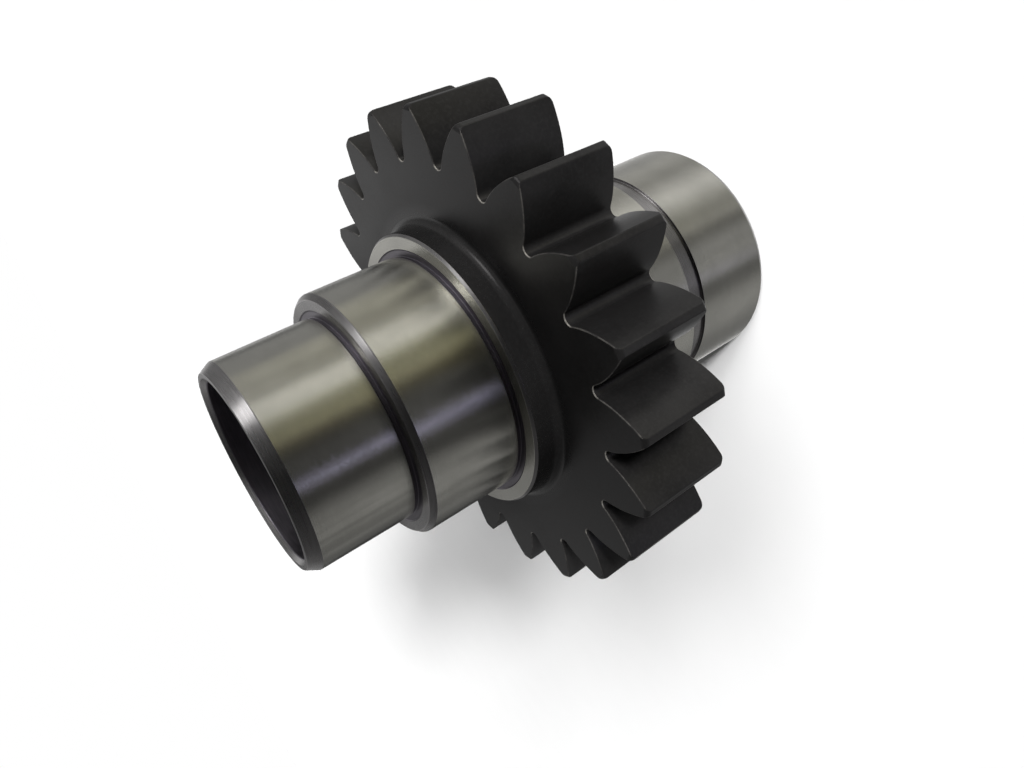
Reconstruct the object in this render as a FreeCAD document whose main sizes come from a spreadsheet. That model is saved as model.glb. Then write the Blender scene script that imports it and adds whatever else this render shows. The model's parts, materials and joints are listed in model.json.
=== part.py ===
import FreeCAD, Part
import math
import os

import Sketcher

# A pinion gear and its hollow shaft, turned and hobbed from one forging.
# It stands on the rear end of its shaft: +Z is the shaft's axis, the origin is
# the centre of the rear end face, and a tooth is centred on +X.
# Going up from there: rear journal, grinding groove, rear land, toothed rim,
# collar, bearing seat and front journal. A plain bore runs right through.

SIZES = {
    # rear end
    "rear_journal_diameter": 88.0,
    "rear_journal_length": 34.0,
    "rear_lead_length": 2.0,
    "rear_lead_depth": 1.15,
    "rear_groove_depth": 1.0,
    "rear_groove_width": 7.5,
    "rear_land_step": 2.0,
    "rear_land_length": 37.5,
    "rear_land_chamfer": 0.8,
    "rear_root_radius": 3.0,
    # toothed rim
    "gear_module": 8.0,
    "tooth_count": 21,
    "pressure_angle": 30.0,
    "addendum_factor": 1.0,
    "dedendum_factor": 1.25,
    "face_width": 34.0,
    "rim_corner_chamfer": 1.2,
    # bearing seat, and the collar that stands above it in front of the rim
    "bearing_seat_diameter": 90.0,
    "bearing_seat_length": 35.5,
    "seat_lead_length": 1.8,
    "seat_lead_depth": 1.5,
    "collar_step": 7.5,
    "collar_length": 10.0,
    "collar_chamfer": 0.8,
    "collar_root_radius": 3.0,
    # front journal, below the seat, and the wall that the bore leaves it
    "journal_step": 7.5,
    "front_journal_length": 38.5,
    "front_lead_length": 4.0,
    "front_lead_depth": 2.3,
    "front_wall": 5.5,
    "bore_chamfer": 1.5,
    # undercut where a ground journal meets a ground shoulder
    "relief_width": 1.4,
    "relief_depth": 0.5,
    "relief_rise": 2.2,
    "relief_face_depth": 0.3,
}

# Points that each tooth flank's curve is drawn through
FLANK_POINTS = 6

doc = FreeCAD.newDocument("pinion_gear")
sheet = doc.addObject("Spreadsheet::Sheet", "Sizes")
for row, (alias, value) in enumerate(SIZES.items(), start=1):
    sheet.set(f"A{row}", alias)
    sheet.set(f"B{row}", str(value))
    sheet.setAlias(f"B{row}", alias)
doc.recompute()


def number(expression):
    """The value that an expression on the sheet has now."""
    result = sheet.evalExpression(expression)
    return float(getattr(result, "Value", result))


# Heights of the shoulders, added up from the rear end
JOURNAL_TOP = "Sizes.rear_journal_length"
LAND_BOTTOM = f"{JOURNAL_TOP} + Sizes.rear_groove_width"
RIM_BACK = f"{LAND_BOTTOM} + Sizes.rear_land_length"
RIM_FRONT = f"{RIM_BACK} + Sizes.face_width"
COLLAR_FACE = f"{RIM_FRONT} + Sizes.collar_length"
SEAT_FACE = f"{COLLAR_FACE} + Sizes.bearing_seat_length"
FRONT_END = f"{SEAT_FACE} + Sizes.front_journal_length"

# Radii: the rear end steps from its journal, the front end from its bearing seat
REAR_JOURNAL = "Sizes.rear_journal_diameter / 2"
REAR_GROOVE = f"{REAR_JOURNAL} - Sizes.rear_groove_depth"
REAR_LAND = f"{REAR_JOURNAL} + Sizes.rear_land_step"
TIP = "Sizes.gear_module * (Sizes.tooth_count / 2 + Sizes.addendum_factor)"
SEAT = "Sizes.bearing_seat_diameter / 2"
COLLAR = f"{SEAT} + Sizes.collar_step"
FRONT_JOURNAL = f"{SEAT} - Sizes.journal_step"
BORE = f"{FRONT_JOURNAL} - Sizes.front_wall"


def new_sketch(body, name, role, height=None):
    """An empty sketch on one of the body's own origin planes."""
    plane = next(f for f in body.Origin.OriginFeatures if f.Role == role)
    sketch = body.newObject("Sketcher::SketchObject", name)
    sketch.AttachmentSupport = (plane, [""])
    sketch.MapMode = "FlatFace"
    if height:
        sketch.setExpression(".AttachmentOffset.Base.z", height)
    return sketch


def relief(shaft, face):
    """Corners of the undercut at a shoulder, from the face in to the shaft."""
    floor = f"{face} - Sizes.relief_face_depth"
    bottom = f"{shaft} - Sizes.relief_depth"
    return [
        (f"{shaft} + Sizes.relief_rise", face),
        (f"{shaft} + Sizes.relief_rise - Sizes.relief_face_depth", floor),
        (bottom, floor),
        (bottom, f"{face} + Sizes.relief_width - Sizes.relief_depth"),
        (shaft, f"{face} + Sizes.relief_width"),
    ]


def turned_section():
    """Half of the shaft's section, as (radius, height) pairs from the rear end up."""
    return [
        ("0", "0"),
        (f"{REAR_JOURNAL} - Sizes.rear_lead_depth", "0"),
        (REAR_JOURNAL, "Sizes.rear_lead_length"),
        (REAR_JOURNAL, JOURNAL_TOP),
        (REAR_GROOVE, JOURNAL_TOP),
        (REAR_GROOVE, LAND_BOTTOM),
        (f"{REAR_LAND} - Sizes.rear_land_chamfer", LAND_BOTTOM),
        (REAR_LAND, f"{LAND_BOTTOM} + Sizes.rear_land_chamfer"),
        (REAR_LAND, RIM_BACK),
        (TIP, RIM_BACK),
        (TIP, RIM_FRONT),
        (COLLAR, RIM_FRONT),
        (COLLAR, f"{COLLAR_FACE} - Sizes.collar_chamfer"),
        (f"{COLLAR} - Sizes.collar_chamfer", COLLAR_FACE),
        *relief(SEAT, COLLAR_FACE),
        (SEAT, f"{SEAT_FACE} - Sizes.seat_lead_length"),
        (f"{SEAT} - Sizes.seat_lead_depth", SEAT_FACE),
        *relief(FRONT_JOURNAL, SEAT_FACE),
        (FRONT_JOURNAL, f"{FRONT_END} - Sizes.front_lead_length"),
        (f"{FRONT_JOURNAL} - Sizes.front_lead_depth", FRONT_END),
        ("0", FRONT_END),
    ]


def draw_polygon(sketch, corners):
    """A closed outline with every corner tied to the sheet."""
    places = [FreeCAD.Vector(number(x), number(y), 0) for x, y in corners]
    for start, end in zip(places, places[1:] + places[:1]):
        sketch.addGeometry(Part.LineSegment(start, end))
    count = len(corners)
    for line in range(count):
        sketch.addConstraint(Sketcher.Constraint("Coincident", line, 2, (line + 1) % count, 1))
    for line, (x, y) in enumerate(corners):
        for kind, axis, expression in (("DistanceX", -2, x), ("DistanceY", -1, y)):
            if expression == "0":
                sketch.addConstraint(Sketcher.Constraint("PointOnObject", line, 1, axis))
                continue
            place = Sketcher.Constraint(kind, -1, 1, line, 1, number(expression))
            index = sketch.addConstraint(place)
            sketch.setExpression(f"Constraints[{index}]", expression)


def circles(shape, ring_radius, height):
    """Names of the shape's circular edges with this radius at this height."""
    names = []
    for index, edge in enumerate(shape.Edges, start=1):
        curve = edge.Curve
        if not isinstance(curve, Part.Circle):
            continue
        if abs(curve.Radius - ring_radius) < 1e-4 and abs(curve.Center.z - height) < 1e-4:
            names.append(f"Edge{index}")
    return names


def dress(body, kind, name, rings, size):
    """A fillet or chamfer on the circular edges at the given (radius, height) pairs."""
    base = body.Tip
    edges = [e for r, z in rings for e in circles(base.Shape, number(r), number(z))]
    feature = body.newObject(f"PartDesign::{kind}", name)
    feature.Base = (base, edges)
    feature.setExpression("Radius" if kind == "Fillet" else "Size", size)
    doc.recompute()
    return feature


def cut(body, sketch, name, length=None):
    """A pocket that goes up from its sketch, right through if it has no length."""
    before = body.Tip.Shape.Volume
    pocket = body.newObject("PartDesign::Pocket", name)
    pocket.Profile = sketch
    pocket.Reversed = True
    if length:
        pocket.setExpression("Length", length)
    else:
        pocket.Type = "ThroughAll"
    doc.recompute()
    if not pocket.Shape.Volume < before:
        raise RuntimeError(f"{name} cuts nothing")
    return pocket


def involute(angle):
    """The involute function of an angle in radians."""
    return math.tan(angle) - angle


def root_arc(base_radius, root_radius, half_space):
    """Where one arc closes the bottom of a tooth space.

    It touches the root circle and both flanks. Returns the distance of its centre
    from the gear's axis, and the roll angle where it meets the flank.
    """

    def clearance(roll):
        angle = half_space + roll
        to_flank = base_radius * (involute(angle) + half_space)
        to_root = base_radius / math.cos(angle) - root_radius
        return to_flank - to_root

    if clearance(0.0) <= 0:
        # narrower than the gap between base and root circle: the flanks go in radially
        return root_radius / (1 - math.sin(half_space)), None
    low, high = 0.0, 1.0
    for _ in range(60):
        middle = (low + high) / 2
        if clearance(middle) > 0:
            low = middle
        else:
            high = middle
    return base_radius / math.cos(half_space + low), low


def draw_tooth_space(sketch):
    """The space between two teeth, half a pitch round from the tooth on +X."""
    module = number("Sizes.gear_module")
    teeth = number("Sizes.tooth_count")
    pressure = math.radians(number("Sizes.pressure_angle"))
    pitch_radius = module * teeth / 2
    base_radius = pitch_radius * math.cos(pressure)
    root_radius = pitch_radius - module * number("Sizes.dedendum_factor")
    outer_radius = number(TIP) + module / 8
    half_pitch = math.pi / teeth
    half_space = half_pitch / 2 - involute(pressure)

    def point(distance, angle):
        turned = half_pitch + angle
        return FreeCAD.Vector(distance * math.cos(turned), distance * math.sin(turned), 0)

    def flank_point(roll, side):
        distance = base_radius * math.hypot(1, roll)
        return point(distance, side * (half_space + roll - math.atan(roll)))

    centre, first_roll = root_arc(base_radius, root_radius, half_space)
    last_roll = math.sqrt((outer_radius / base_radius) ** 2 - 1)
    start_roll = first_roll or 0.0
    step = (last_roll - start_roll) / (FLANK_POINTS - 1)
    ends = []
    for side in (-1, 1):
        flank = Part.BSplineCurve()
        flank.interpolate([flank_point(start_roll + i * step, side) for i in range(FLANK_POINTS)])
        sketch.addGeometry(flank)
        foot = flank_point(start_roll, side)
        if first_roll is None:
            touch = point(centre * math.cos(half_space), side * half_space)
            sketch.addGeometry(Part.LineSegment(foot, touch))
            foot = touch
        ends.append(foot)
    sketch.addGeometry(Part.Arc(ends[0], point(root_radius, 0), ends[1]))
    crest = [flank_point(last_roll, side) for side in (-1, 1)]
    sketch.addGeometry(Part.Arc(crest[0], point(outer_radius, 0), crest[1]))


gear = doc.addObject("PartDesign::Body", "pinion_gear")
gear.Label = "pinion_gear"
gear.Placement = FreeCAD.Placement()

# The turned forging: one revolved section, its root fillets and the rim's corners
section = new_sketch(gear, "TurnedSection", "XZ_Plane")
draw_polygon(section, turned_section())
blank = gear.newObject("PartDesign::Revolution", "TurnedBlank")
blank.Profile = section
blank.ReferenceAxis = (section, ["V_Axis"])
blank.Angle = 360
doc.recompute()
dress(gear, "Fillet", "CollarRoot", [(COLLAR, RIM_FRONT)], "Sizes.collar_root_radius")
dress(gear, "Fillet", "RearRoot", [(REAR_LAND, RIM_BACK)], "Sizes.rear_root_radius")
dress(gear, "Chamfer", "RimCorners", [(TIP, RIM_BACK), (TIP, RIM_FRONT)], "Sizes.rim_corner_chamfer")

# The bore, with both mouths chamfered
bore_section = new_sketch(gear, "BoreSection", "XY_Plane")
bore_section.addGeometry(Part.Circle(FreeCAD.Vector(), FreeCAD.Vector(0, 0, 1), number(BORE)))
bore_section.addConstraint(Sketcher.Constraint("Coincident", 0, 3, -1, 1))
bore_size = bore_section.addConstraint(Sketcher.Constraint("Radius", 0, number(BORE)))
bore_section.setExpression(f"Constraints[{bore_size}]", BORE)
cut(gear, bore_section, "Bore")
dress(gear, "Chamfer", "BoreMouths", [(BORE, "0"), (BORE, FRONT_END)], "Sizes.bore_chamfer")

# The teeth: one space hobbed between two teeth, then all the way round
space_section = new_sketch(gear, "ToothSpaceSection", "XY_Plane", RIM_BACK)
draw_tooth_space(space_section)
space = cut(gear, space_section, "ToothSpace", "Sizes.face_width")
teeth_all_round = gear.newObject("PartDesign::PolarPattern", "ToothSpaces")
teeth_all_round.Originals = [space]
teeth_all_round.Axis = (space_section, ["N_Axis"])
teeth_all_round.Angle = 360
teeth_all_round.setExpression("Occurrences", "Sizes.tooth_count")
gear.Tip = teeth_all_round
doc.recompute()

# Nothing is written unless every feature worked and the gear is one sound solid
for item in doc.Objects:
    if "Invalid" in item.State or "Error" in item.State:
        raise RuntimeError(f"{item.Name} failed: {item.State}")
if gear.Shape.isNull() or not gear.Shape.isValid() or len(gear.Shape.Solids) != 1:
    raise RuntimeError("the gear is not one valid solid")

os.makedirs("parts", exist_ok=True)
gear.Shape.exportStep(f"parts/{gear.Label}.step")
print(f"{gear.Label}: {gear.Shape.Volume / 1000:.1f} cm3, {len(gear.Shape.Faces)} faces")
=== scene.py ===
import json
import math

import bmesh
import bpy
from bpy.props import FloatProperty, FloatVectorProperty, IntProperty, PointerProperty
from mathutils import Matrix, Vector


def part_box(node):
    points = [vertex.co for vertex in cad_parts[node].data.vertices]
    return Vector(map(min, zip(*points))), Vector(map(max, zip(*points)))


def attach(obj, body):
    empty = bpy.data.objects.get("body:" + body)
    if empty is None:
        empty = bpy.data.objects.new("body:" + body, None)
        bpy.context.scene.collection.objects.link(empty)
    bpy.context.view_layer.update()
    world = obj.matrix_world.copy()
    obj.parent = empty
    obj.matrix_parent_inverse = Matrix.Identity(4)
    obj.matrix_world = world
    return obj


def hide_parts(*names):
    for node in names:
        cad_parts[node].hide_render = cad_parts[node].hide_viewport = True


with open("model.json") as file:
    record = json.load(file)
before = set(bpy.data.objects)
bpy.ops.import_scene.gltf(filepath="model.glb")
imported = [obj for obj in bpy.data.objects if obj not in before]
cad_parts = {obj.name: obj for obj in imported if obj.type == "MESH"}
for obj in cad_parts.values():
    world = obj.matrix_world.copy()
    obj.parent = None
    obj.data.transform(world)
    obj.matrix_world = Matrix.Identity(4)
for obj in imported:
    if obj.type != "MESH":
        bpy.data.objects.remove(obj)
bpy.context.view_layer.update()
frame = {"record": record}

# A steel pinion gear: one forging with a toothed rim, ground bearing journals and
# a plain bore. +Z is the shaft's axis and the rear end stands on the floor at z = 0.

bl_info = {
    "name": "Pinion Gear",
    "version": (1, 0, 0),
    "blender": (4, 5, 0),
    "location": "3D View > Sidebar > Pinion",
    "description": "Builds a ground and blackened pinion gear on a pale studio floor",
    "category": "Object",
}

MM = 0.001
WHITE = (1.0, 1.0, 1.0)
NODE = "pinion_gear"
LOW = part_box(NODE)[0]
MOUNTS = {mount["name"]: mount for mount in frame["record"]["mounts"]}

# Finishes of the forging's surfaces, in the order of its material slots; the last is the tooth
# edges' worn black with a painted highlight
GROUND, BLACK, TURNED, BORED, WORN_AND_GLINT = range(5)


def mount_radius(name):
    """The radius of one of the record's round mounts, in metres."""
    return MOUNTS[name]["dims"]["r_mm"] * MM


def mount_height(name):
    """The height of one of the record's mounts above the rear end, in metres."""
    return MOUNTS[name]["pos_m"][2]


def length(name, default, description):
    """A size of the gear that a user can change."""
    return FloatProperty(
        name=name, description=description, default=default, min=0.0, precision=5, unit="LENGTH"
    )


def amount(name, default, description):
    """A plain number that a user can change."""
    return FloatProperty(name=name, description=description, default=default)


def angle(name, degrees, description):
    """An angle that a user can change."""
    return FloatProperty(
        name=name, description=description, default=math.radians(degrees), subtype="ANGLE"
    )


def colour(name, default, description):
    """A surface colour that a user can change."""
    return FloatVectorProperty(
        name=name, description=description, default=default,
        size=3, min=0.0, max=1.0, subtype="COLOR",
    )


class PinionShaftSizes(bpy.types.PropertyGroup):
    """Radii and heights of the turned shaft."""

    bore: length("Bore Radius", mount_radius("bore"), "Radius of the bore")
    bore_chamfer: length("Bore Chamfer", 1.5 * MM, "Chamfer of the bore's two mouths")
    rear_journal: length(
        "Rear Journal Radius", mount_radius("rear_journal"), "Radius of the rear journal"
    )
    rear_journal_top: length("Rear Journal Top", 34 * MM, "Height where the rear journal ends")
    rear_lead_length: length("Rear Lead Length", 2 * MM, "Length of the chamfer at the rear end")
    rear_lead_depth: length("Rear Lead Depth", 1.15 * MM, "Depth of the chamfer at the rear end")
    groove_depth: length("Groove Depth", 1 * MM, "Depth of the groove below the rear journal")
    groove_top: length("Groove Top", 41.5 * MM, "Height where the groove ends")
    rear_land: length("Rear Land Radius", mount_radius("rear_land"), "Radius behind the rim")
    land_chamfer: length("Land Chamfer", 0.8 * MM, "Chamfer of the land at the groove")
    rear_root: length("Rear Root Radius", 3 * MM, "Fillet between the land and the rim")
    seat: length("Bearing Seat Radius", mount_radius("bearing_seat"), "Radius of the bearing seat")
    seat_top: length("Bearing Seat Top", 158.5 * MM, "Height of the seat's front face")
    seat_lead_length: length("Seat Lead Length", 1.8 * MM, "Length of the seat's chamfer")
    seat_lead_depth: length("Seat Lead Depth", 1.5 * MM, "Depth of the seat's chamfer")
    collar_step: length("Collar Step", 7.5 * MM, "Height of the collar above the seat")
    collar_face: length("Collar Face", mount_height("collar_face"), "Height of the collar's face")
    collar_chamfer: length("Collar Chamfer", 0.8 * MM, "Chamfer of the collar's front edge")
    collar_root: length("Collar Root Radius", 3 * MM, "Fillet between the collar and the rim")
    front_journal: length(
        "Front Journal Radius", mount_radius("front_journal"), "Radius of the front journal"
    )
    front_end: length("Front End", mount_height("front_end_face"), "Height of the front end face")
    front_lead_length: length("Front Lead Length", 4 * MM, "Length of the chamfer at the front end")
    front_lead_depth: length("Front Lead Depth", 2.3 * MM, "Depth of the chamfer at the front end")
    relief_width: length("Relief Width", 1.4 * MM, "Width of the undercuts along the shaft")
    relief_depth: length("Relief Depth", 0.5 * MM, "Depth of the undercuts into the shaft")
    relief_rise: length("Relief Rise", 2.2 * MM, "How far the undercuts reach up the shoulder")
    relief_face: length("Relief Face Depth", 0.3 * MM, "Depth of the undercuts into the shoulder")
    edge: length("Edge Rounding", 0.12 * MM, "Rounding of the turned edges")
    soft_edge: length("Soft Rounding", 0.3 * MM, "Rounding of the bore, groove and undercuts")
    lead_edge: length("Lead Rounding", 0.2 * MM, "Rounding between front journal and chamfer")


class PinionRimSizes(bpy.types.PropertyGroup):
    """Sizes of the toothed rim."""

    back: length("Rim Back", 79 * MM, "Height of the rim's rear face")
    front: length("Rim Front", 113 * MM, "Height of the rim's front face")
    module: length("Module", 8 * MM, "Pitch diameter divided by the number of teeth")
    teeth: IntProperty(name="Teeth", description="Number of teeth", default=21, min=8)
    pressure: angle("Pressure Angle", 30, "Slope of the flanks at the pitch circle")
    addendum: amount("Addendum", 1.0, "Tooth height above the pitch circle, in modules")
    dedendum: amount("Dedendum", 1.25, "Tooth depth below the pitch circle, in modules")
    corner: length("Tooth Corner", 1.8 * MM, "Rounding where the tooth tops meet the rim's faces")
    edge: length("Tooth Edge", 0.3 * MM, "Broken edge round every tooth")


class PinionFinish(bpy.types.PropertyGroup):
    """Colours of the forging's finishes."""

    ground: colour("Ground Steel", (0.60, 0.59, 0.54), "Journals, lands and the collar's face")
    black: colour("Blackened Steel", (0.032, 0.031, 0.031), "Rim, teeth and collar")
    turned: colour("Turned Steel", (0.33, 0.32, 0.32), "Chamfers, undercuts and the groove")
    bored: colour("Bored Steel", (0.22, 0.205, 0.23), "Inside of the bore")
    # The worn edge colour stands partly for wear and partly for a painted highlight on the tooth
    # edges
    worn: colour("Worn Edge", (0.30, 0.285, 0.26), "Tooth edges that are rubbed bare")
    floor: colour("Floor", (0.80, 0.80, 0.80), "Studio floor")


# Section of the shaft


def relief(shaft, face, sizes):
    """Corners of the undercut at a shoulder: (radius, height, finish from here on, rounding)."""
    floor = face - sizes.relief_face
    bottom = shaft - sizes.relief_depth
    return [
        (shaft + sizes.relief_rise, face, BORED, sizes.edge),
        (shaft + sizes.relief_rise - sizes.relief_face, floor, BORED, sizes.edge),
        (bottom, floor, BORED, sizes.soft_edge),
        (bottom, face + sizes.relief_width - sizes.relief_depth, TURNED, sizes.edge),
        (shaft, face + sizes.relief_width, GROUND, sizes.edge),
    ]


def rear_section(sizes, rim):
    """Corners from the bore's rear mouth out and up to the rim's back."""
    mouth = sizes.bore + sizes.bore_chamfer
    groove = sizes.rear_journal - sizes.groove_depth
    land = sizes.rear_land
    return [
        (sizes.bore, sizes.bore_chamfer, TURNED, sizes.soft_edge),
        (mouth, LOW.z, TURNED, sizes.edge),
        (sizes.rear_journal - sizes.rear_lead_depth, LOW.z, TURNED, sizes.soft_edge),
        (sizes.rear_journal, sizes.rear_lead_length, GROUND, sizes.soft_edge),
        (sizes.rear_journal, sizes.rear_journal_top, TURNED, sizes.edge),
        (groove, sizes.rear_journal_top, TURNED, sizes.soft_edge),
        (groove, sizes.groove_top, TURNED, sizes.soft_edge),
        (land - sizes.land_chamfer, sizes.groove_top, TURNED, sizes.edge),
        (land, sizes.groove_top + sizes.land_chamfer, GROUND, sizes.edge),
        (land, rim.back, BLACK, sizes.rear_root),
    ]


def front_section(sizes, rim):
    """Corners from the rim's front up the collar, seat and journal, and down the bore."""
    collar = sizes.seat + sizes.collar_step
    mouth = sizes.bore + sizes.bore_chamfer
    return [
        (collar, rim.front, BLACK, sizes.collar_root),
        (collar, sizes.collar_face - sizes.collar_chamfer, TURNED, sizes.edge),
        (collar - sizes.collar_chamfer, sizes.collar_face, GROUND, sizes.edge),
        *relief(sizes.seat, sizes.collar_face, sizes),
        (sizes.seat, sizes.seat_top - sizes.seat_lead_length, TURNED, sizes.soft_edge),
        (sizes.seat - sizes.seat_lead_depth, sizes.seat_top, TURNED, sizes.soft_edge),
        *relief(sizes.front_journal, sizes.seat_top, sizes),
        (sizes.front_journal, sizes.front_end - sizes.front_lead_length, TURNED, sizes.lead_edge),
        (sizes.front_journal - sizes.front_lead_depth, sizes.front_end, TURNED, sizes.edge),
        (mouth, sizes.front_end, TURNED, sizes.edge),
        (sizes.bore, sizes.front_end - sizes.bore_chamfer, BORED, sizes.soft_edge),
        (sizes.bore, sizes.bore_chamfer, BORED, sizes.soft_edge),
    ]


# Turning


STEPS_PER_TOOTH = 16
# Points closer than this are merged, and points this near a ring or a face are on it
MERGE = 1e-6
NEAR = 5e-6
# Fillets larger than this are rounded with more faces than the small edges
LARGE_FILLET = 1 * MM
FILLET_SEGMENTS = 9
EDGE_SEGMENTS = 3


def turn(bm, corners, pitch):
    """Spins each stretch between two corners through one tooth's share of the shaft."""
    aim = Matrix.Rotation(-pitch / 2, 3, "Z")
    for (radius, height, finish, _), (next_radius, next_height, _, _) in zip(corners, corners[1:]):
        first = bm.verts.new(aim @ Vector((radius, 0, height)))
        second = bm.verts.new(aim @ Vector((next_radius, 0, next_height)))
        edge = bm.edges.new((first, second))
        before = len(bm.faces)
        bmesh.ops.spin(
            bm, geom=[first, second, edge], cent=(0, 0, 0), axis=(0, 0, 1),
            angle=pitch, steps=STEPS_PER_TOOTH,
        )
        bm.faces.ensure_lookup_table()
        for face in bm.faces[before:]:
            face.material_index = finish


def ring_edges(bm, radius, height):
    """The edges of the ring at this radius and height."""
    def on_ring(vert):
        """Whether a point lies on the ring."""
        near = abs(vert.co.z - height) < NEAR
        return near and abs(vert.co.xy.length - radius) < NEAR

    return [edge for edge in bm.edges if all(on_ring(vert) for vert in edge.verts)]


def round_rings(bm, corners):
    """Rounds every turned corner, the large root fillets first."""
    for radius, height, finish, rounding in sorted(corners, key=lambda corner: -corner[3]):
        large = rounding > LARGE_FILLET
        result = bmesh.ops.bevel(
            bm, geom=ring_edges(bm, radius, height), offset=rounding, offset_type="OFFSET",
            affect="EDGES", segments=FILLET_SEGMENTS if large else EDGE_SEGMENTS,
            profile=0.5, material=-1, clamp_overlap=False,
        )
        for face in result["faces"]:
            face.material_index = BLACK if large else finish


# Teeth


FLANK_STEPS = 12
ROOT_STEPS = 6
CORNER_SEGMENTS = 6
BREAK_SEGMENTS = 2
# The tooth's foot is found to this roll angle
FOOT_TOLERANCE = 1e-9
# Tooth edges that turn more than this are broken
BREAK_ABOVE = math.radians(40)
# Edges that turn less than this are shaded smooth
SMOOTH_BELOW = math.radians(28)
# A face whose normal's height is above this lies flat across the shaft
LEVEL = 0.99999


def involute(slope):
    """The involute function of an angle in radians."""
    return math.tan(slope) - slope


def half_tooth(rim):
    """Outline of half a tooth from the middle of its top down to the middle of the space."""
    pitch_radius = rim.module * rim.teeth / 2
    base = pitch_radius * math.cos(rim.pressure)
    root = pitch_radius - rim.module * rim.dedendum
    tip = pitch_radius + rim.module * rim.addendum
    half_pitch = math.pi / rim.teeth
    half_space = half_pitch / 2 - involute(rim.pressure)

    def gap(roll):
        """Room left by a root arc that meets the flank at this roll angle."""
        lean = half_space + roll
        return base * (involute(lean) + half_space - 1 / math.cos(lean)) + root

    foot_roll, beyond = 0.0, 1.0
    while beyond - foot_roll > FOOT_TOLERANCE:
        middle = (foot_roll + beyond) / 2
        if gap(middle) > 0:
            foot_roll = middle
        else:
            beyond = middle
    centre = base / math.cos(half_space + foot_roll)
    arc = centre - root

    def polar(radius, heading):
        """The point at a radius and a heading."""
        return Vector((radius * math.cos(heading), radius * math.sin(heading), 0))

    def flank(roll):
        """The point of the flank's involute at a roll angle."""
        return polar(base * math.hypot(1, roll), half_pitch - half_space - roll + math.atan(roll))

    tip_corner = flank(math.sqrt((tip / base) ** 2 - 1))
    tip_angle = math.atan2(tip_corner.y, tip_corner.x)
    top = [polar(tip, 0), polar(tip, tip_angle / 2), tip_corner]
    below_corner = tip - rim.corner - 2 * rim.edge
    start_roll = math.sqrt((below_corner / base) ** 2 - 1)
    side = []
    for step in range(FLANK_STEPS + 1):
        side.append(flank(start_roll + (foot_roll - start_roll) * step / FLANK_STEPS))
    turn_back = Matrix.Rotation(half_pitch, 3, "Z")
    foot = turn_back.inverted() @ side[-1]
    start = math.atan2(foot.y, foot.x - centre)
    bottom = []
    for step in range(1, ROOT_STEPS + 1):
        heading = start + (-math.pi - start) * step / ROOT_STEPS
        place = Vector((centre + arc * math.cos(heading), arc * math.sin(heading), 0))
        bottom.append(turn_back @ place)
    return top + side + bottom


def rim_face(bm, outline, inner, height, half_pitch):
    """One flat half sector of the rim, from the shaft's ring out to the tooth's outline."""
    outer = [bm.verts.new((place.x, place.y, height)) for place in outline]
    steps = STEPS_PER_TOOTH // 2
    ring = []
    for step in range(steps + 1):
        heading = half_pitch * (1 - step / steps)
        ring.append(bm.verts.new((inner * math.cos(heading), inner * math.sin(heading), height)))
    bm.faces.new(outer + ring)
    return outer


def cut_tooth(bm, sizes, rim):
    """Half a tooth between the rim's two faces, and its mirror image."""
    outline = half_tooth(rim)
    half_pitch = math.pi / rim.teeth
    start = len(bm.faces)
    front = rim_face(bm, outline, sizes.seat + sizes.collar_step, rim.front, half_pitch)
    back = rim_face(bm, outline, sizes.rear_land, rim.back, half_pitch)
    for index in range(len(front) - 1):
        bm.faces.new((front[index], back[index], back[index + 1], front[index + 1]))
    bm.faces.ensure_lookup_table()
    half = set(bm.faces[start:])
    for face in bm.faces[start:]:
        face.material_index = BLACK
        half.update(face.edges)
        half.update(face.verts)
    bmesh.ops.mirror(bm, geom=list(half), matrix=Matrix(), merge_dist=0, axis="Y")


def break_tooth_edges(bm, sizes, rim):
    """Rounds the teeth's corners at the rim's faces, then breaks every sharp edge on them."""
    tip = rim.module * (rim.teeth / 2 + rim.addendum)
    corners = []
    for height in (rim.back, rim.front):
        for edge in bm.edges:
            level = all(abs(vert.co.z - height) < NEAR for vert in edge.verts)
            if level and all(vert.co.xy.length > tip - NEAR for vert in edge.verts):
                corners.append(edge)
    bmesh.ops.bevel(
        bm, geom=corners, offset=rim.corner, offset_type="OFFSET", affect="EDGES",
        segments=CORNER_SEGMENTS, profile=0.5, material=-1, clamp_overlap=False,
    )
    inside = sizes.seat + sizes.collar_step + 2 * sizes.collar_root
    sharp = []
    for edge in bm.edges:
        outside = all(vert.co.xy.length > inside for vert in edge.verts)
        if outside and len(edge.link_faces) == 2 and edge.calc_face_angle() > BREAK_ABOVE:
            sharp.append(edge)
    result = bmesh.ops.bevel(
        bm, geom=sharp, offset=rim.edge, offset_type="OFFSET", affect="EDGES",
        segments=BREAK_SEGMENTS, profile=0.5, material=-1, clamp_overlap=False, loop_slide=True,
    )
    for face in result["faces"]:
        height = face.calc_center_median().z
        beside_face = min(abs(height - rim.back), abs(height - rim.front)) < rim.edge
        # The strips beside the rim's faces get the lighter edge colour: partly wear, partly a
        # painted highlight
        face.material_index = WORN_AND_GLINT if beside_face else BLACK


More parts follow.
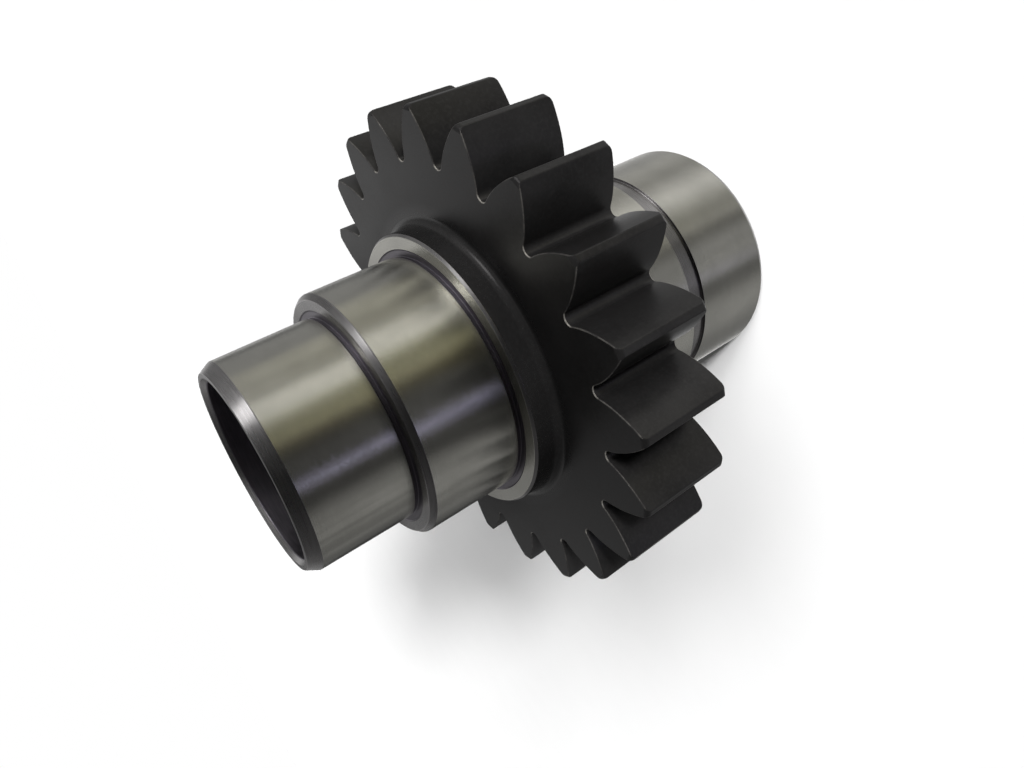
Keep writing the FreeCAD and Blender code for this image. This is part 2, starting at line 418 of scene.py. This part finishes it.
def forge(sizes, rim):
    """The whole forging as one closed mesh."""
    bm = bmesh.new()
    rear = rear_section(sizes, rim)
    front = front_section(sizes, rim)
    pitch = math.tau / rim.teeth
    turn(bm, rear, pitch)
    turn(bm, front, pitch)
    cut_tooth(bm, sizes, rim)
    bmesh.ops.spin(
        bm, geom=bm.verts[:] + bm.edges[:] + bm.faces[:], cent=(0, 0, 0), axis=(0, 0, 1),
        angle=math.tau - pitch, steps=rim.teeth - 1, use_duplicate=True,
    )
    bmesh.ops.remove_doubles(bm, verts=bm.verts[:], dist=MERGE)
    bmesh.ops.recalc_face_normals(bm, faces=bm.faces[:])
    break_tooth_edges(bm, sizes, rim)
    round_rings(bm, rear + front[:-1])
    for face in bm.faces:
        face.smooth = True
    for edge in bm.edges:
        flat = [abs(face.normal.z) > LEVEL for face in edge.link_faces]
        edge.smooth = edge.calc_face_angle(0.0) < SMOOTH_BELOW and all(flat) == any(flat)
    mesh = bpy.data.meshes.new("pinion_forging")
    bm.to_mesh(mesh)
    bm.free()
    return mesh


# Materials


# Most of a noise's values lie between these two
MIDDLE = (0.3, 0.7)
FULL = (0.0, 1.0)
# Radii between which the collar's smoother finish gives way to the rim's
COLLAR_FINISH = (56 * MM, 60 * MM)


class Nodes:
    """Adds and joins the nodes of one material."""

    def __init__(self, name):
        self.material = bpy.data.materials.new(name)
        self.material.use_nodes = True
        self.tree = self.material.node_tree
        self.shader = self.tree.nodes["Principled BSDF"]

    def add(self, kind, **settings):
        """A new node with its settings."""
        node = self.tree.nodes.new("ShaderNode" + kind)
        for key, value in settings.items():
            setattr(node, key, value)
        return node

    def put(self, node, socket, value):
        """Sets a socket, or links it where the value is another node's output."""
        target = node.inputs[socket]
        if isinstance(value, bpy.types.NodeSocket):
            self.tree.links.new(value, target)
        else:
            target.default_value = value

    def maths(self, operation, first, second=0.0):
        """The result of one Math node."""
        node = self.add("Math", operation=operation)
        self.put(node, 0, first)
        self.put(node, 1, second)
        return node.outputs[0]

    def vectors(self, operation, first, second=(0, 0, 0)):
        """The result of one Vector Math node."""
        node = self.add("VectorMath", operation=operation)
        self.put(node, 0, first)
        self.put(node, 1, second)
        return node.outputs[0]

    def place(self):
        """The point on the piece, in metres."""
        return self.add("TexCoord").outputs["Object"]

    def noise(self, vector, scale=1.0, detail=2.0, roughness=0.5):
        """A noise value at a vector."""
        node = self.add("TexNoise")
        self.put(node, "Vector", vector)
        self.put(node, "Scale", scale)
        self.put(node, "Detail", detail)
        self.put(node, "Roughness", roughness)
        return node.outputs["Fac"]

    def spread(self, value, span, out):
        """A value moved from one span to another, and kept inside it."""
        node = self.add("MapRange")
        for socket, number in enumerate((value, *span, *out)):
            self.put(node, socket, number)
        return node.outputs[0]

    def mix(self, factor, first, second):
        """A colour between two."""
        node = self.add("Mix", data_type="RGBA")
        self.put(node, 0, factor)
        self.put(node, 6, first)
        self.put(node, 7, second)
        return node.outputs[2]

    def around(self):
        """The direction round the shaft at each point: +Z crossed with the point."""
        across = self.vectors("CROSS_PRODUCT", (0, 0, 1), self.place())
        return self.vectors("NORMALIZE", across)

    def lay(self):
        """The direction across the grinding lines: along a journal, and outwards on a flat ring."""
        normal = self.add("NewGeometry").outputs["Normal"]
        return self.vectors("NORMALIZE", self.vectors("CROSS_PRODUCT", normal, self.around()))

    def radius(self):
        """The distance of each point from the shaft's axis, in metres."""
        flat = self.vectors("MULTIPLY", self.place(), (1, 1, 0))
        measure = self.add("VectorMath", operation="LENGTH")
        self.put(measure, 0, flat)
        return measure.outputs["Value"]

    def lathe(self, round_scale, along_scale):
        """Coordinates that are drawn out round the shaft, as turned and ground lines are."""
        flat = self.vectors("MULTIPLY", self.place(), (1, 1, 0))
        turned = self.add("VectorMath", operation="SCALE")
        self.put(turned, 0, self.vectors("NORMALIZE", flat))
        self.put(turned, "Scale", round_scale)
        split = self.add("SeparateXYZ")
        self.put(split, 0, self.place())
        along = self.maths("ADD", split.outputs[2], self.radius())
        rise = self.add("CombineXYZ")
        self.put(rise, 2, self.maths("MULTIPLY", along, along_scale))
        return self.vectors("ADD", turned.outputs[0], rise.outputs[0])

    def bump(self, height, distance, strength):
        """A normal from a height."""
        node = self.add("Bump")
        self.put(node, "Strength", strength)
        self.put(node, "Distance", distance)
        self.put(node, "Height", height)
        return node.outputs[0]


def rgba(colour_value, factor=1.0):
    """A colour property as four numbers, made lighter or darker by a factor."""
    return (*(channel * factor for channel in colour_value), 1.0)


def ground_steel(tint):
    """Bright steel with fine grinding lines round the shaft."""
    nodes = Nodes("ground_steel")
    shader = nodes.shader
    lathe = nodes.lathe(round_scale=3.0, along_scale=7000.0)
    lines = nodes.noise(lathe, detail=3.0, roughness=0.6)
    patches = nodes.noise(nodes.lathe(round_scale=2.5, along_scale=60.0))
    grain = nodes.noise(nodes.place(), scale=2600.0)
    stain = nodes.mix(nodes.spread(patches, MIDDLE, FULL), rgba(tint, 0.90), rgba(tint, 1.04))
    dark_lines = nodes.spread(lines, MIDDLE, (0.0, 0.3))
    nodes.put(shader, "Base Color", nodes.mix(dark_lines, stain, rgba(tint, 0.85)))
    nodes.put(shader, "Metallic", 1.0)
    lines_rough = nodes.spread(lines, (0.25, 0.75), (0.18, 0.22))
    grain_rough = nodes.spread(grain, MIDDLE, (-0.02, 0.02))
    nodes.put(shader, "Roughness", nodes.maths("ADD", lines_rough, grain_rough))
    nodes.put(shader, "Anisotropic", 1.0)
    nodes.put(shader, "Tangent", nodes.lay())
    nodes.put(shader, "Normal", nodes.bump(lines, distance=0.04 * MM, strength=0.6))
    return nodes.material


def blackened_steel(tint):
    """Hardened and blackened steel, with a soft sheen and faint turning marks."""
    nodes = Nodes("blackened_steel")
    shader = nodes.shader
    cloud = nodes.noise(nodes.place(), scale=42.0, detail=4.0, roughness=0.6)
    fine = nodes.noise(nodes.place(), scale=900.0, detail=3.0, roughness=0.6)
    turned = nodes.noise(nodes.lathe(round_scale=1.5, along_scale=2600.0))
    base = nodes.mix(nodes.spread(cloud, MIDDLE, FULL), rgba(tint, 0.8), rgba(tint, 1.25))
    specks = nodes.spread(fine, (0.45, 0.75), (0.0, 0.4))
    nodes.put(shader, "Base Color", nodes.mix(specks, base, rgba(tint, 1.6)))
    nodes.put(shader, "Metallic", 0.9)
    cloud_rough = nodes.spread(cloud, MIDDLE, (0.31, 0.41))
    fine_rough = nodes.spread(fine, MIDDLE, (-0.03, 0.03))
    rim_rough = nodes.maths("ADD", cloud_rough, fine_rough)
    # The collar and its fillet are turned smoother than the rim
    smoother = nodes.spread(nodes.radius(), COLLAR_FINISH, (-0.10, 0.0))
    nodes.put(shader, "Roughness", nodes.maths("ADD", rim_rough, smoother))
    fine_height = nodes.maths("MULTIPLY", fine, 0.7)
    turned_height = nodes.maths("MULTIPLY", turned, 0.5)
    height = nodes.maths("ADD", fine_height, turned_height)
    nodes.put(shader, "Normal", nodes.bump(height, distance=0.04 * MM, strength=0.35))
    return nodes.material


def turned_steel(tint):
    """Dark turned steel of the chamfers, undercuts and end faces."""
    nodes = Nodes("turned_steel")
    shader = nodes.shader
    lines = nodes.noise(nodes.lathe(round_scale=3.0, along_scale=5200.0))
    cloud = nodes.noise(nodes.place(), scale=60.0, detail=3.0)
    base = nodes.mix(nodes.spread(cloud, MIDDLE, FULL), rgba(tint, 0.75), rgba(tint, 1.2))
    bright_lines = nodes.spread(lines, (0.4, 0.7), (0.0, 0.4))
    nodes.put(shader, "Base Color", nodes.mix(bright_lines, base, rgba(tint, 1.4)))
    nodes.put(shader, "Metallic", 1.0)
    nodes.put(shader, "Roughness", nodes.spread(lines, MIDDLE, (0.24, 0.34)))
    nodes.put(shader, "Anisotropic", 0.5)
    nodes.put(shader, "Tangent", nodes.lay())
    nodes.put(shader, "Normal", nodes.bump(lines, distance=0.03 * MM, strength=0.3))
    return nodes.material


def bored_steel(tint):
    """The bore's dark wall, with a coarser turned finish."""
    nodes = Nodes("bored_steel")
    shader = nodes.shader
    lines = nodes.noise(nodes.lathe(round_scale=4.0, along_scale=3000.0), detail=3.0)
    cloud = nodes.noise(nodes.place(), scale=35.0, detail=3.0)
    base = nodes.mix(nodes.spread(cloud, MIDDLE, FULL), rgba(tint, 0.7), rgba(tint, 1.3))
    bright_lines = nodes.spread(lines, (0.4, 0.7), (0.0, 0.4))
    nodes.put(shader, "Base Color", nodes.mix(bright_lines, base, rgba(tint, 1.8)))
    nodes.put(shader, "Metallic", 1.0)
    nodes.put(shader, "Roughness", nodes.spread(lines, MIDDLE, (0.34, 0.46)))
    nodes.put(shader, "Normal", nodes.bump(lines, distance=0.05 * MM, strength=0.4))
    return nodes.material


def worn_edge(tint, black, root):
    """A broken edge whose lighter colour is partly the black rubbed thin by handling and partly a
    painted highlight of the edge's glint, brightest in the tooth roots.
    """
    nodes = Nodes("worn_edge")
    shader = nodes.shader
    rub = nodes.noise(nodes.place(), scale=130.0, detail=4.0, roughness=0.7)
    fine = nodes.noise(nodes.place(), scale=1500.0)
    patchy = nodes.spread(rub, (0.40, 0.62), (0.02, 0.30))
    # Painted highlight: the edges in the tooth roots are made bright as glints, fading out between
    # the root radii
    root_glint = nodes.spread(nodes.radius(), root, (1.0, 0.0))
    specks = nodes.spread(fine, (0.3, 0.6), (0.5, 1.0))
    # The edge's light colour mixes real rubbing with the painted root highlight
    bare = nodes.maths("MULTIPLY", nodes.maths("MAXIMUM", patchy, root_glint), specks)
    nodes.put(shader, "Base Color", nodes.mix(bare, rgba(black, 1.1), rgba(tint)))
    nodes.put(shader, "Metallic", 0.8)
    nodes.put(shader, "Roughness", nodes.spread(rub, MIDDLE, (0.42, 0.30)))
    nodes.put(shader, "Normal", nodes.bump(fine, distance=0.03 * MM, strength=0.3))
    return nodes.material


# Studio


# What polished steel sees round it, low down by the floor: headings in degrees, and the
# brightness or colour there
FLOOR_BANDS = (
    (-180, 0.32),
    (-156, 0.24),
    (-150, 0.17),
    (-138, 0.20),
    (-130, 0.34),
    (-118, 0.36),
    (-116, 1.10),
    (-114, 0.30),
    (-104, 0.33),
    (-96, 0.38),
    (-86, 0.20),
    (-76, 0.30),
    (-58, 0.30),
    (-46, 0.55),
    (-36, 0.72),
    (-22, 0.66),
    (-12, 0.40),
    (8, 0.48),
    (28, 0.38),
    (42, 0.46),
    (50, 0.55),
    (62, 0.95),
    (72, 1.20),
    (112, 1.20),
    (118, 0.80),
    (124, 0.24),
    (146, 0.23),
    (180, 0.32),
)
WALL_BANDS = (
    (-180, 0.30),
    (-152, 0.16),
    (-146, 0.08),
    (-130, 0.07),
    (-127, (0.36, 0.35, 0.50)),
    (-121, (0.40, 0.39, 0.56)),
    (-118, 0.09),
    (-98, 0.05),
    (-86, (0.13, 0.12, 0.08)),
    (-80, (0.26, 0.24, 0.15)),
    (-70, (0.36, 0.35, 0.22)),
    (-60, (0.42, 0.41, 0.29)),
    (-54, (0.60, 0.59, 0.50)),
    (-50, (1.10, 1.09, 1.01)),
    (-34, (0.72, 0.71, 0.64)),
    (-32, (0.36, 0.35, 0.29)),
    (-14, (0.34, 0.33, 0.28)),
    (-10, (0.58, 0.57, 0.49)),
    (6, (0.56, 0.55, 0.49)),
    (10, 0.26),
    (26, 0.24),
    (30, 0.33),
    (42, 0.30),
    (46, 0.14),
    (54, 0.20),
    (62, 0.45),
    (72, 0.36),
    (82, 0.14),
    (92, 0.05),
    (118, 0.04),
    (132, 0.17),
    (180, 0.30),
)
SKY_BANDS = (
    (-180, 0.06),
    (-160, 0.045),
    (-140, 0.03),
    (-118, 0.03),
    (-96, 0.045),
    (-72, 0.09),
    (-52, 0.22),
    (-40, 0.40),
    (-30, 0.60),
    (-18, 0.60),
    (-6, 0.50),
    (4, 0.40),
    (20, 0.24),
    (44, 0.24),
    (58, 0.32),
    (66, 0.70),
    (72, 0.95),
    (77, 0.65),
    (83, 0.17),
    (94, 0.15),
    (102, 0.23),
    (112, 0.32),
    (124, 0.22),
    (144, 0.13),
    (160, 0.10),
    (180, 0.06),
)
OVERHEAD_BANDS = (
    (-180, 0.06),
    (-120, 0.03),
    (-96, 0.05),
    (-70, 0.09),
    (-44, 0.18),
    (-20, 0.25),
    (0, 0.35),
    (80, 0.35),
    (100, 0.20),
    (120, 0.10),
    (180, 0.06),
)
# The zones above the floor's, and the two heights on a ball of radius 1 between which each begins
TENT_ZONES = (
    (WALL_BANDS, (-0.58, -0.42)),
    (SKY_BANDS, (-0.08, 0.00)),
    (OVERHEAD_BANDS, (0.72, 0.82)),
)
TENT_RADIUS = 3.0
# How the bands vary: soft ripples, and panels with sharp edges, by the heading in radians
RIPPLE_SCALE = 22.0
RIPPLE_LEVEL = (0.84, 1.16)
PANEL_SCALE = 9.0
PANEL_LEVEL = (0.80, 1.20)
# The one round lamp in the tent, with the angles in degrees between which it fades in
SPOT_DIRECTION = (0.68, -0.36, 0.64)
SPOT_LEVEL = 4.6
SPOT_EDGE = (11, 6)
# The lamps that throw the floor's shadow: where each stands, and its width in degrees
LAMPS = {
    "low_side": ((0.262, -0.946, 0.190), 10),
    "middle_side": ((0.452, -0.851, 0.267), 16),
    "high_side": ((0.545, -0.650, 0.530), 22),
}
# The camera's axes in the reference view
CAMERA_RIGHT = (-0.46033574, -0.41408219, -0.78525597)
CAMERA_UP = (0.88618871, -0.16199171, -0.43408324)
# Distances from the shaft, in metres, between which the floor fades to white
FADE = (0.9, 3.0)
FLOOR_RADIUS = 40.0
# White that the floor gains over that distance
FADE_GAIN = 0.3


def floor_material(tint, fill):
    """A pale floor that keeps the object's shadow and fades into the white background."""
    nodes = Nodes("studio_floor")
    shader = nodes.shader
    grain = nodes.noise(nodes.place(), scale=30.0, detail=3.0)
    pale = nodes.mix(nodes.spread(grain, MIDDLE, FULL), rgba(tint, 0.99), rgba(tint))
    nodes.put(shader, "Base Color", pale)
    nodes.put(shader, "Roughness", 0.9)
    nodes.put(shader, "Specular IOR Level", 0.0)
    seen = nodes.add("LightPath").outputs["Is Camera Ray"]
    white = nodes.spread(nodes.radius(), FADE, (fill, fill + FADE_GAIN))
    nodes.put(shader, "Emission Color", rgba(WHITE))
    nodes.put(shader, "Emission Strength", nodes.maths("MULTIPLY", seen, white))
    return nodes.material


def bands_ramp(nodes, share, bands):
    """A colour ramp that gives each heading its band's brightness."""
    ramp = nodes.add("ValToRGB")
    nodes.put(ramp, 0, share)
    stops = ramp.color_ramp.elements
    for index, (degrees, level) in enumerate(bands):
        place = (degrees + 180) / 360
        stop = stops[index] if index < 2 else stops.new(place)
        stop.position = place
        stop.color = (*level, 1.0) if isinstance(level, tuple) else rgba(WHITE, level)
    return ramp.outputs[0]


def tent_material():
    """Upright bands of light and dark, in zones from the floor up over the walls to overhead."""
    nodes = Nodes("light_tent")
    towards = nodes.vectors("NORMALIZE", nodes.place())
    split = nodes.add("SeparateXYZ")
    nodes.put(split, 0, towards)
    heading = nodes.maths("ARCTAN2", split.outputs[1], split.outputs[0])
    share = nodes.spread(heading, (-math.pi, math.pi), FULL)
    light = bands_ramp(nodes, share, FLOOR_BANDS)
    for bands, heights in TENT_ZONES:
        above = nodes.spread(split.outputs[2], heights, FULL)
        light = nodes.mix(above, light, bands_ramp(nodes, share, bands))
    facing = nodes.add("VectorMath", operation="DOT_PRODUCT")
    nodes.put(facing, 0, towards)
    nodes.put(facing, 1, SPOT_DIRECTION)
    edge = [math.cos(math.radians(degrees)) for degrees in SPOT_EDGE]
    inside = nodes.spread(facing.outputs["Value"], edge, FULL)
    light = nodes.mix(inside, light, rgba(WHITE, SPOT_LEVEL))
    along = nodes.add("CombineXYZ")
    nodes.put(along, 0, heading)
    ripples = nodes.noise(along.outputs[0], scale=RIPPLE_SCALE, detail=4.0, roughness=0.6)
    panels = nodes.add("TexVoronoi", voronoi_dimensions="1D")
    nodes.put(panels, "W", heading)
    nodes.put(panels, "Scale", PANEL_SCALE)
    ripple = nodes.spread(ripples, MIDDLE, RIPPLE_LEVEL)
    panel = nodes.spread(panels.outputs["Color"], MIDDLE, PANEL_LEVEL)
    glow = nodes.add("Emission")
    nodes.put(glow, "Color", light)
    nodes.put(glow, "Strength", nodes.maths("MULTIPLY", ripple, panel))
    nodes.put(nodes.tree.nodes["Material Output"], "Surface", glow.outputs[0])
    return nodes.material


def studio_world(fill):
    """A background that is white where it is seen, and a soft even fill light elsewhere."""
    world = bpy.data.worlds.new("studio")
    bpy.context.scene.world = world
    world.use_nodes = True
    tree = world.node_tree
    background = tree.nodes["Background"]
    path = tree.nodes.new("ShaderNodeLightPath")
    seen = path.outputs["Is Camera Ray"]
    for ray in ("Is Glossy Ray", "Is Transmission Ray"):
        either = tree.nodes.new("ShaderNodeMath")
        either.operation = "MAXIMUM"
        tree.links.new(seen, either.inputs[0])
        tree.links.new(path.outputs[ray], either.inputs[1])
        seen = either.outputs[0]
    level = tree.nodes.new("ShaderNodeMapRange")
    tree.links.new(seen, level.inputs[0])
    level.inputs[3].default_value = fill
    tree.links.new(level.outputs[0], background.inputs["Strength"])
    background.inputs["Color"].default_value = rgba(WHITE)


def soft_sun(name, towards, softness, strength):
    """A soft and even light from one side of the studio."""
    data = bpy.data.lights.new(name, "SUN")
    data.angle = softness
    data.energy = strength
    lamp = bpy.data.objects.new(name, data)
    bpy.context.scene.collection.objects.link(lamp)
    lamp.location = towards
    lamp.rotation_euler = Vector(towards).to_track_quat("Z", "Y").to_euler()
    lamp.visible_camera = False
    lamp.visible_glossy = False


class PinionStudio(bpy.types.PropertyGroup):
    """Camera and light."""

    camera_distance: length("Camera Distance", 258.07 * MM, "From the shaft's axis to the camera")
    camera_height: length("Camera Height", 227.59 * MM, "Height of the camera above the floor")
    heading: angle("Camera Heading", -92.26, "Heading of the camera seen from the shaft")
    focal: amount("Focal Length", 27.06, "Focal length in millimetres")
    world_fill: amount("World Fill", 0.05, "Strength of the even fill light")
    floor_fill: amount("Floor Fill", 0.03, "White added to the floor's own look")
    low_side: amount("Low Side", 10.6, "Strength of the side light that grazes the floor")
    middle_side: amount("Middle Side", 2.6, "Strength of the middle side light")
    high_side: amount("High Side", 2.0, "Strength of the high side light")


# Operators


def link_mesh(name, mesh, materials=()):
    """Puts a mesh into the scene as an object at the origin."""
    for material in materials:
        mesh.materials.append(material)
    piece = bpy.data.objects.new(name, mesh)
    bpy.context.scene.collection.objects.link(piece)
    return piece


class PINION_OT_forging(bpy.types.Operator):
    """Turn the shaft, cut the teeth and finish the forging."""

    bl_idname = "pinion.forging"
    bl_label = "Build Pinion Gear"

    def execute(self, context):
        """Makes the forging's mesh and materials."""
        scene = context.scene
        look = scene.pinion_finish
        rim = scene.pinion_rim
        mesh = forge(scene.pinion_shaft, rim)
        bottom = rim.module * (rim.teeth / 2 - rim.dedendum)
        # Radii between which the painted highlight at the tooth roots fades out
        root = (bottom + 0.5 * MM, bottom + 1.5 * MM)
        materials = (
            ground_steel(look.ground),
            blackened_steel(look.black),
            turned_steel(look.turned),
            bored_steel(look.bored),
            worn_edge(look.worn, look.black, root),
        )
        piece = link_mesh("pinion_forging", mesh, materials)
        weighted = piece.modifiers.new("Face Weighted Normals", "WEIGHTED_NORMAL")
        weighted.keep_sharp = True
        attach(piece, "root")
        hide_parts(NODE)
        return {"FINISHED"}


class PINION_OT_studio(bpy.types.Operator):
    """Set up the floor, the light tent, the lamps and the camera."""

    bl_idname = "pinion.studio"
    bl_label = "Build Studio"

    def execute(self, context):
        """Makes everything round the gear."""
        scene = context.scene
        studio = scene.pinion_studio
        self.floor(scene)
        self.tent()
        studio_world(studio.world_fill)
        for name, (towards, width) in LAMPS.items():
            soft_sun(name, towards, math.radians(width), getattr(studio, name))
        self.camera(scene)
        scene.view_settings.view_transform = "Standard"
        return {"FINISHED"}

    def floor(self, scene):
        """A wide pale floor under the rear end."""
        bm = bmesh.new()
        bmesh.ops.create_circle(
            bm, cap_ends=True, cap_tris=False, segments=64, radius=FLOOR_RADIUS
        )
        mesh = bpy.data.meshes.new("floor")
        bm.to_mesh(mesh)
        bm.free()
        material = floor_material(scene.pinion_finish.floor, scene.pinion_studio.floor_fill)
        floor = link_mesh("floor", mesh, [material])
        floor.visible_glossy = False

    def tent(self):
        """A ball of light and dark bands that only polished surfaces see."""
        bm = bmesh.new()
        bmesh.ops.create_uvsphere(bm, u_segments=96, v_segments=48, radius=TENT_RADIUS)
        mesh = bpy.data.meshes.new("light_tent")
        bm.to_mesh(mesh)
        bm.free()
        tent = link_mesh("light_tent", mesh, [tent_material()])
        tent.visible_camera = False
        tent.visible_diffuse = False
        tent.visible_shadow = False
        tent.visible_transmission = False

    def camera(self, scene):
        """The camera of the reference view, rolled so that the shaft lies across the frame."""
        studio = scene.pinion_studio
        data = bpy.data.cameras.new("camera")
        data.lens = studio.focal
        data.sensor_width = 36.0
        data.clip_start = 0.01
        data.clip_end = 200.0
        camera = bpy.data.objects.new("camera", data)
        scene.collection.objects.link(camera)
        right = Vector(CAMERA_RIGHT)
        up = Vector(CAMERA_UP)
        aim = Matrix((right, up, right.cross(up))).transposed().to_4x4()
        stand = Matrix.Translation((0, -studio.camera_distance, studio.camera_height))
        swing = Matrix.Rotation(studio.heading + math.pi / 2, 4, "Z")
        camera.matrix_world = swing @ stand @ aim
        scene.camera = camera


class PINION_PT_panel(bpy.types.Panel):
    """Sizes, finishes and studio of the pinion gear."""

    bl_idname = "PINION_PT_panel"
    bl_label = "Pinion Gear"
    bl_space_type = "VIEW_3D"
    bl_region_type = "UI"
    bl_category = "Pinion"

    def draw(self, context):
        """A box for each group of sizes, with its operator below."""
        layout = self.layout
        scene = context.scene
        groups = (
            ("Shaft", scene.pinion_shaft, PINION_OT_forging),
            ("Rim", scene.pinion_rim, None),
            ("Finish", scene.pinion_finish, None),
            ("Studio", scene.pinion_studio, PINION_OT_studio),
        )
        for label, group, operator in groups:
            box = layout.box()
            box.label(text=label)
            for name in group.__annotations__:
                box.prop(group, name)
            if operator:
                box.operator(operator.bl_idname)


CLASSES = (
    PinionShaftSizes,
    PinionRimSizes,
    PinionFinish,
    PinionStudio,
    PINION_OT_forging,
    PINION_OT_studio,
    PINION_PT_panel,
)
GROUPS = {
    "pinion_shaft": PinionShaftSizes,
    "pinion_rim": PinionRimSizes,
    "pinion_finish": PinionFinish,
    "pinion_studio": PinionStudio,
}


def register():
    """Registers the classes and gives the scene its groups of sizes."""
    for cls in CLASSES:
        bpy.utils.register_class(cls)
    for name, group in GROUPS.items():
        setattr(bpy.types.Scene, name, PointerProperty(type=group))


def unregister():
    """Takes the groups and the classes out again."""
    for name in GROUPS:
        delattr(bpy.types.Scene, name)
    for cls in reversed(CLASSES):
        bpy.utils.unregister_class(cls)


def main():
    """Builds the gear and the studio."""
    register()
    bpy.ops.pinion.forging()
    bpy.ops.pinion.studio()


if __name__ == "__main__":
    main()
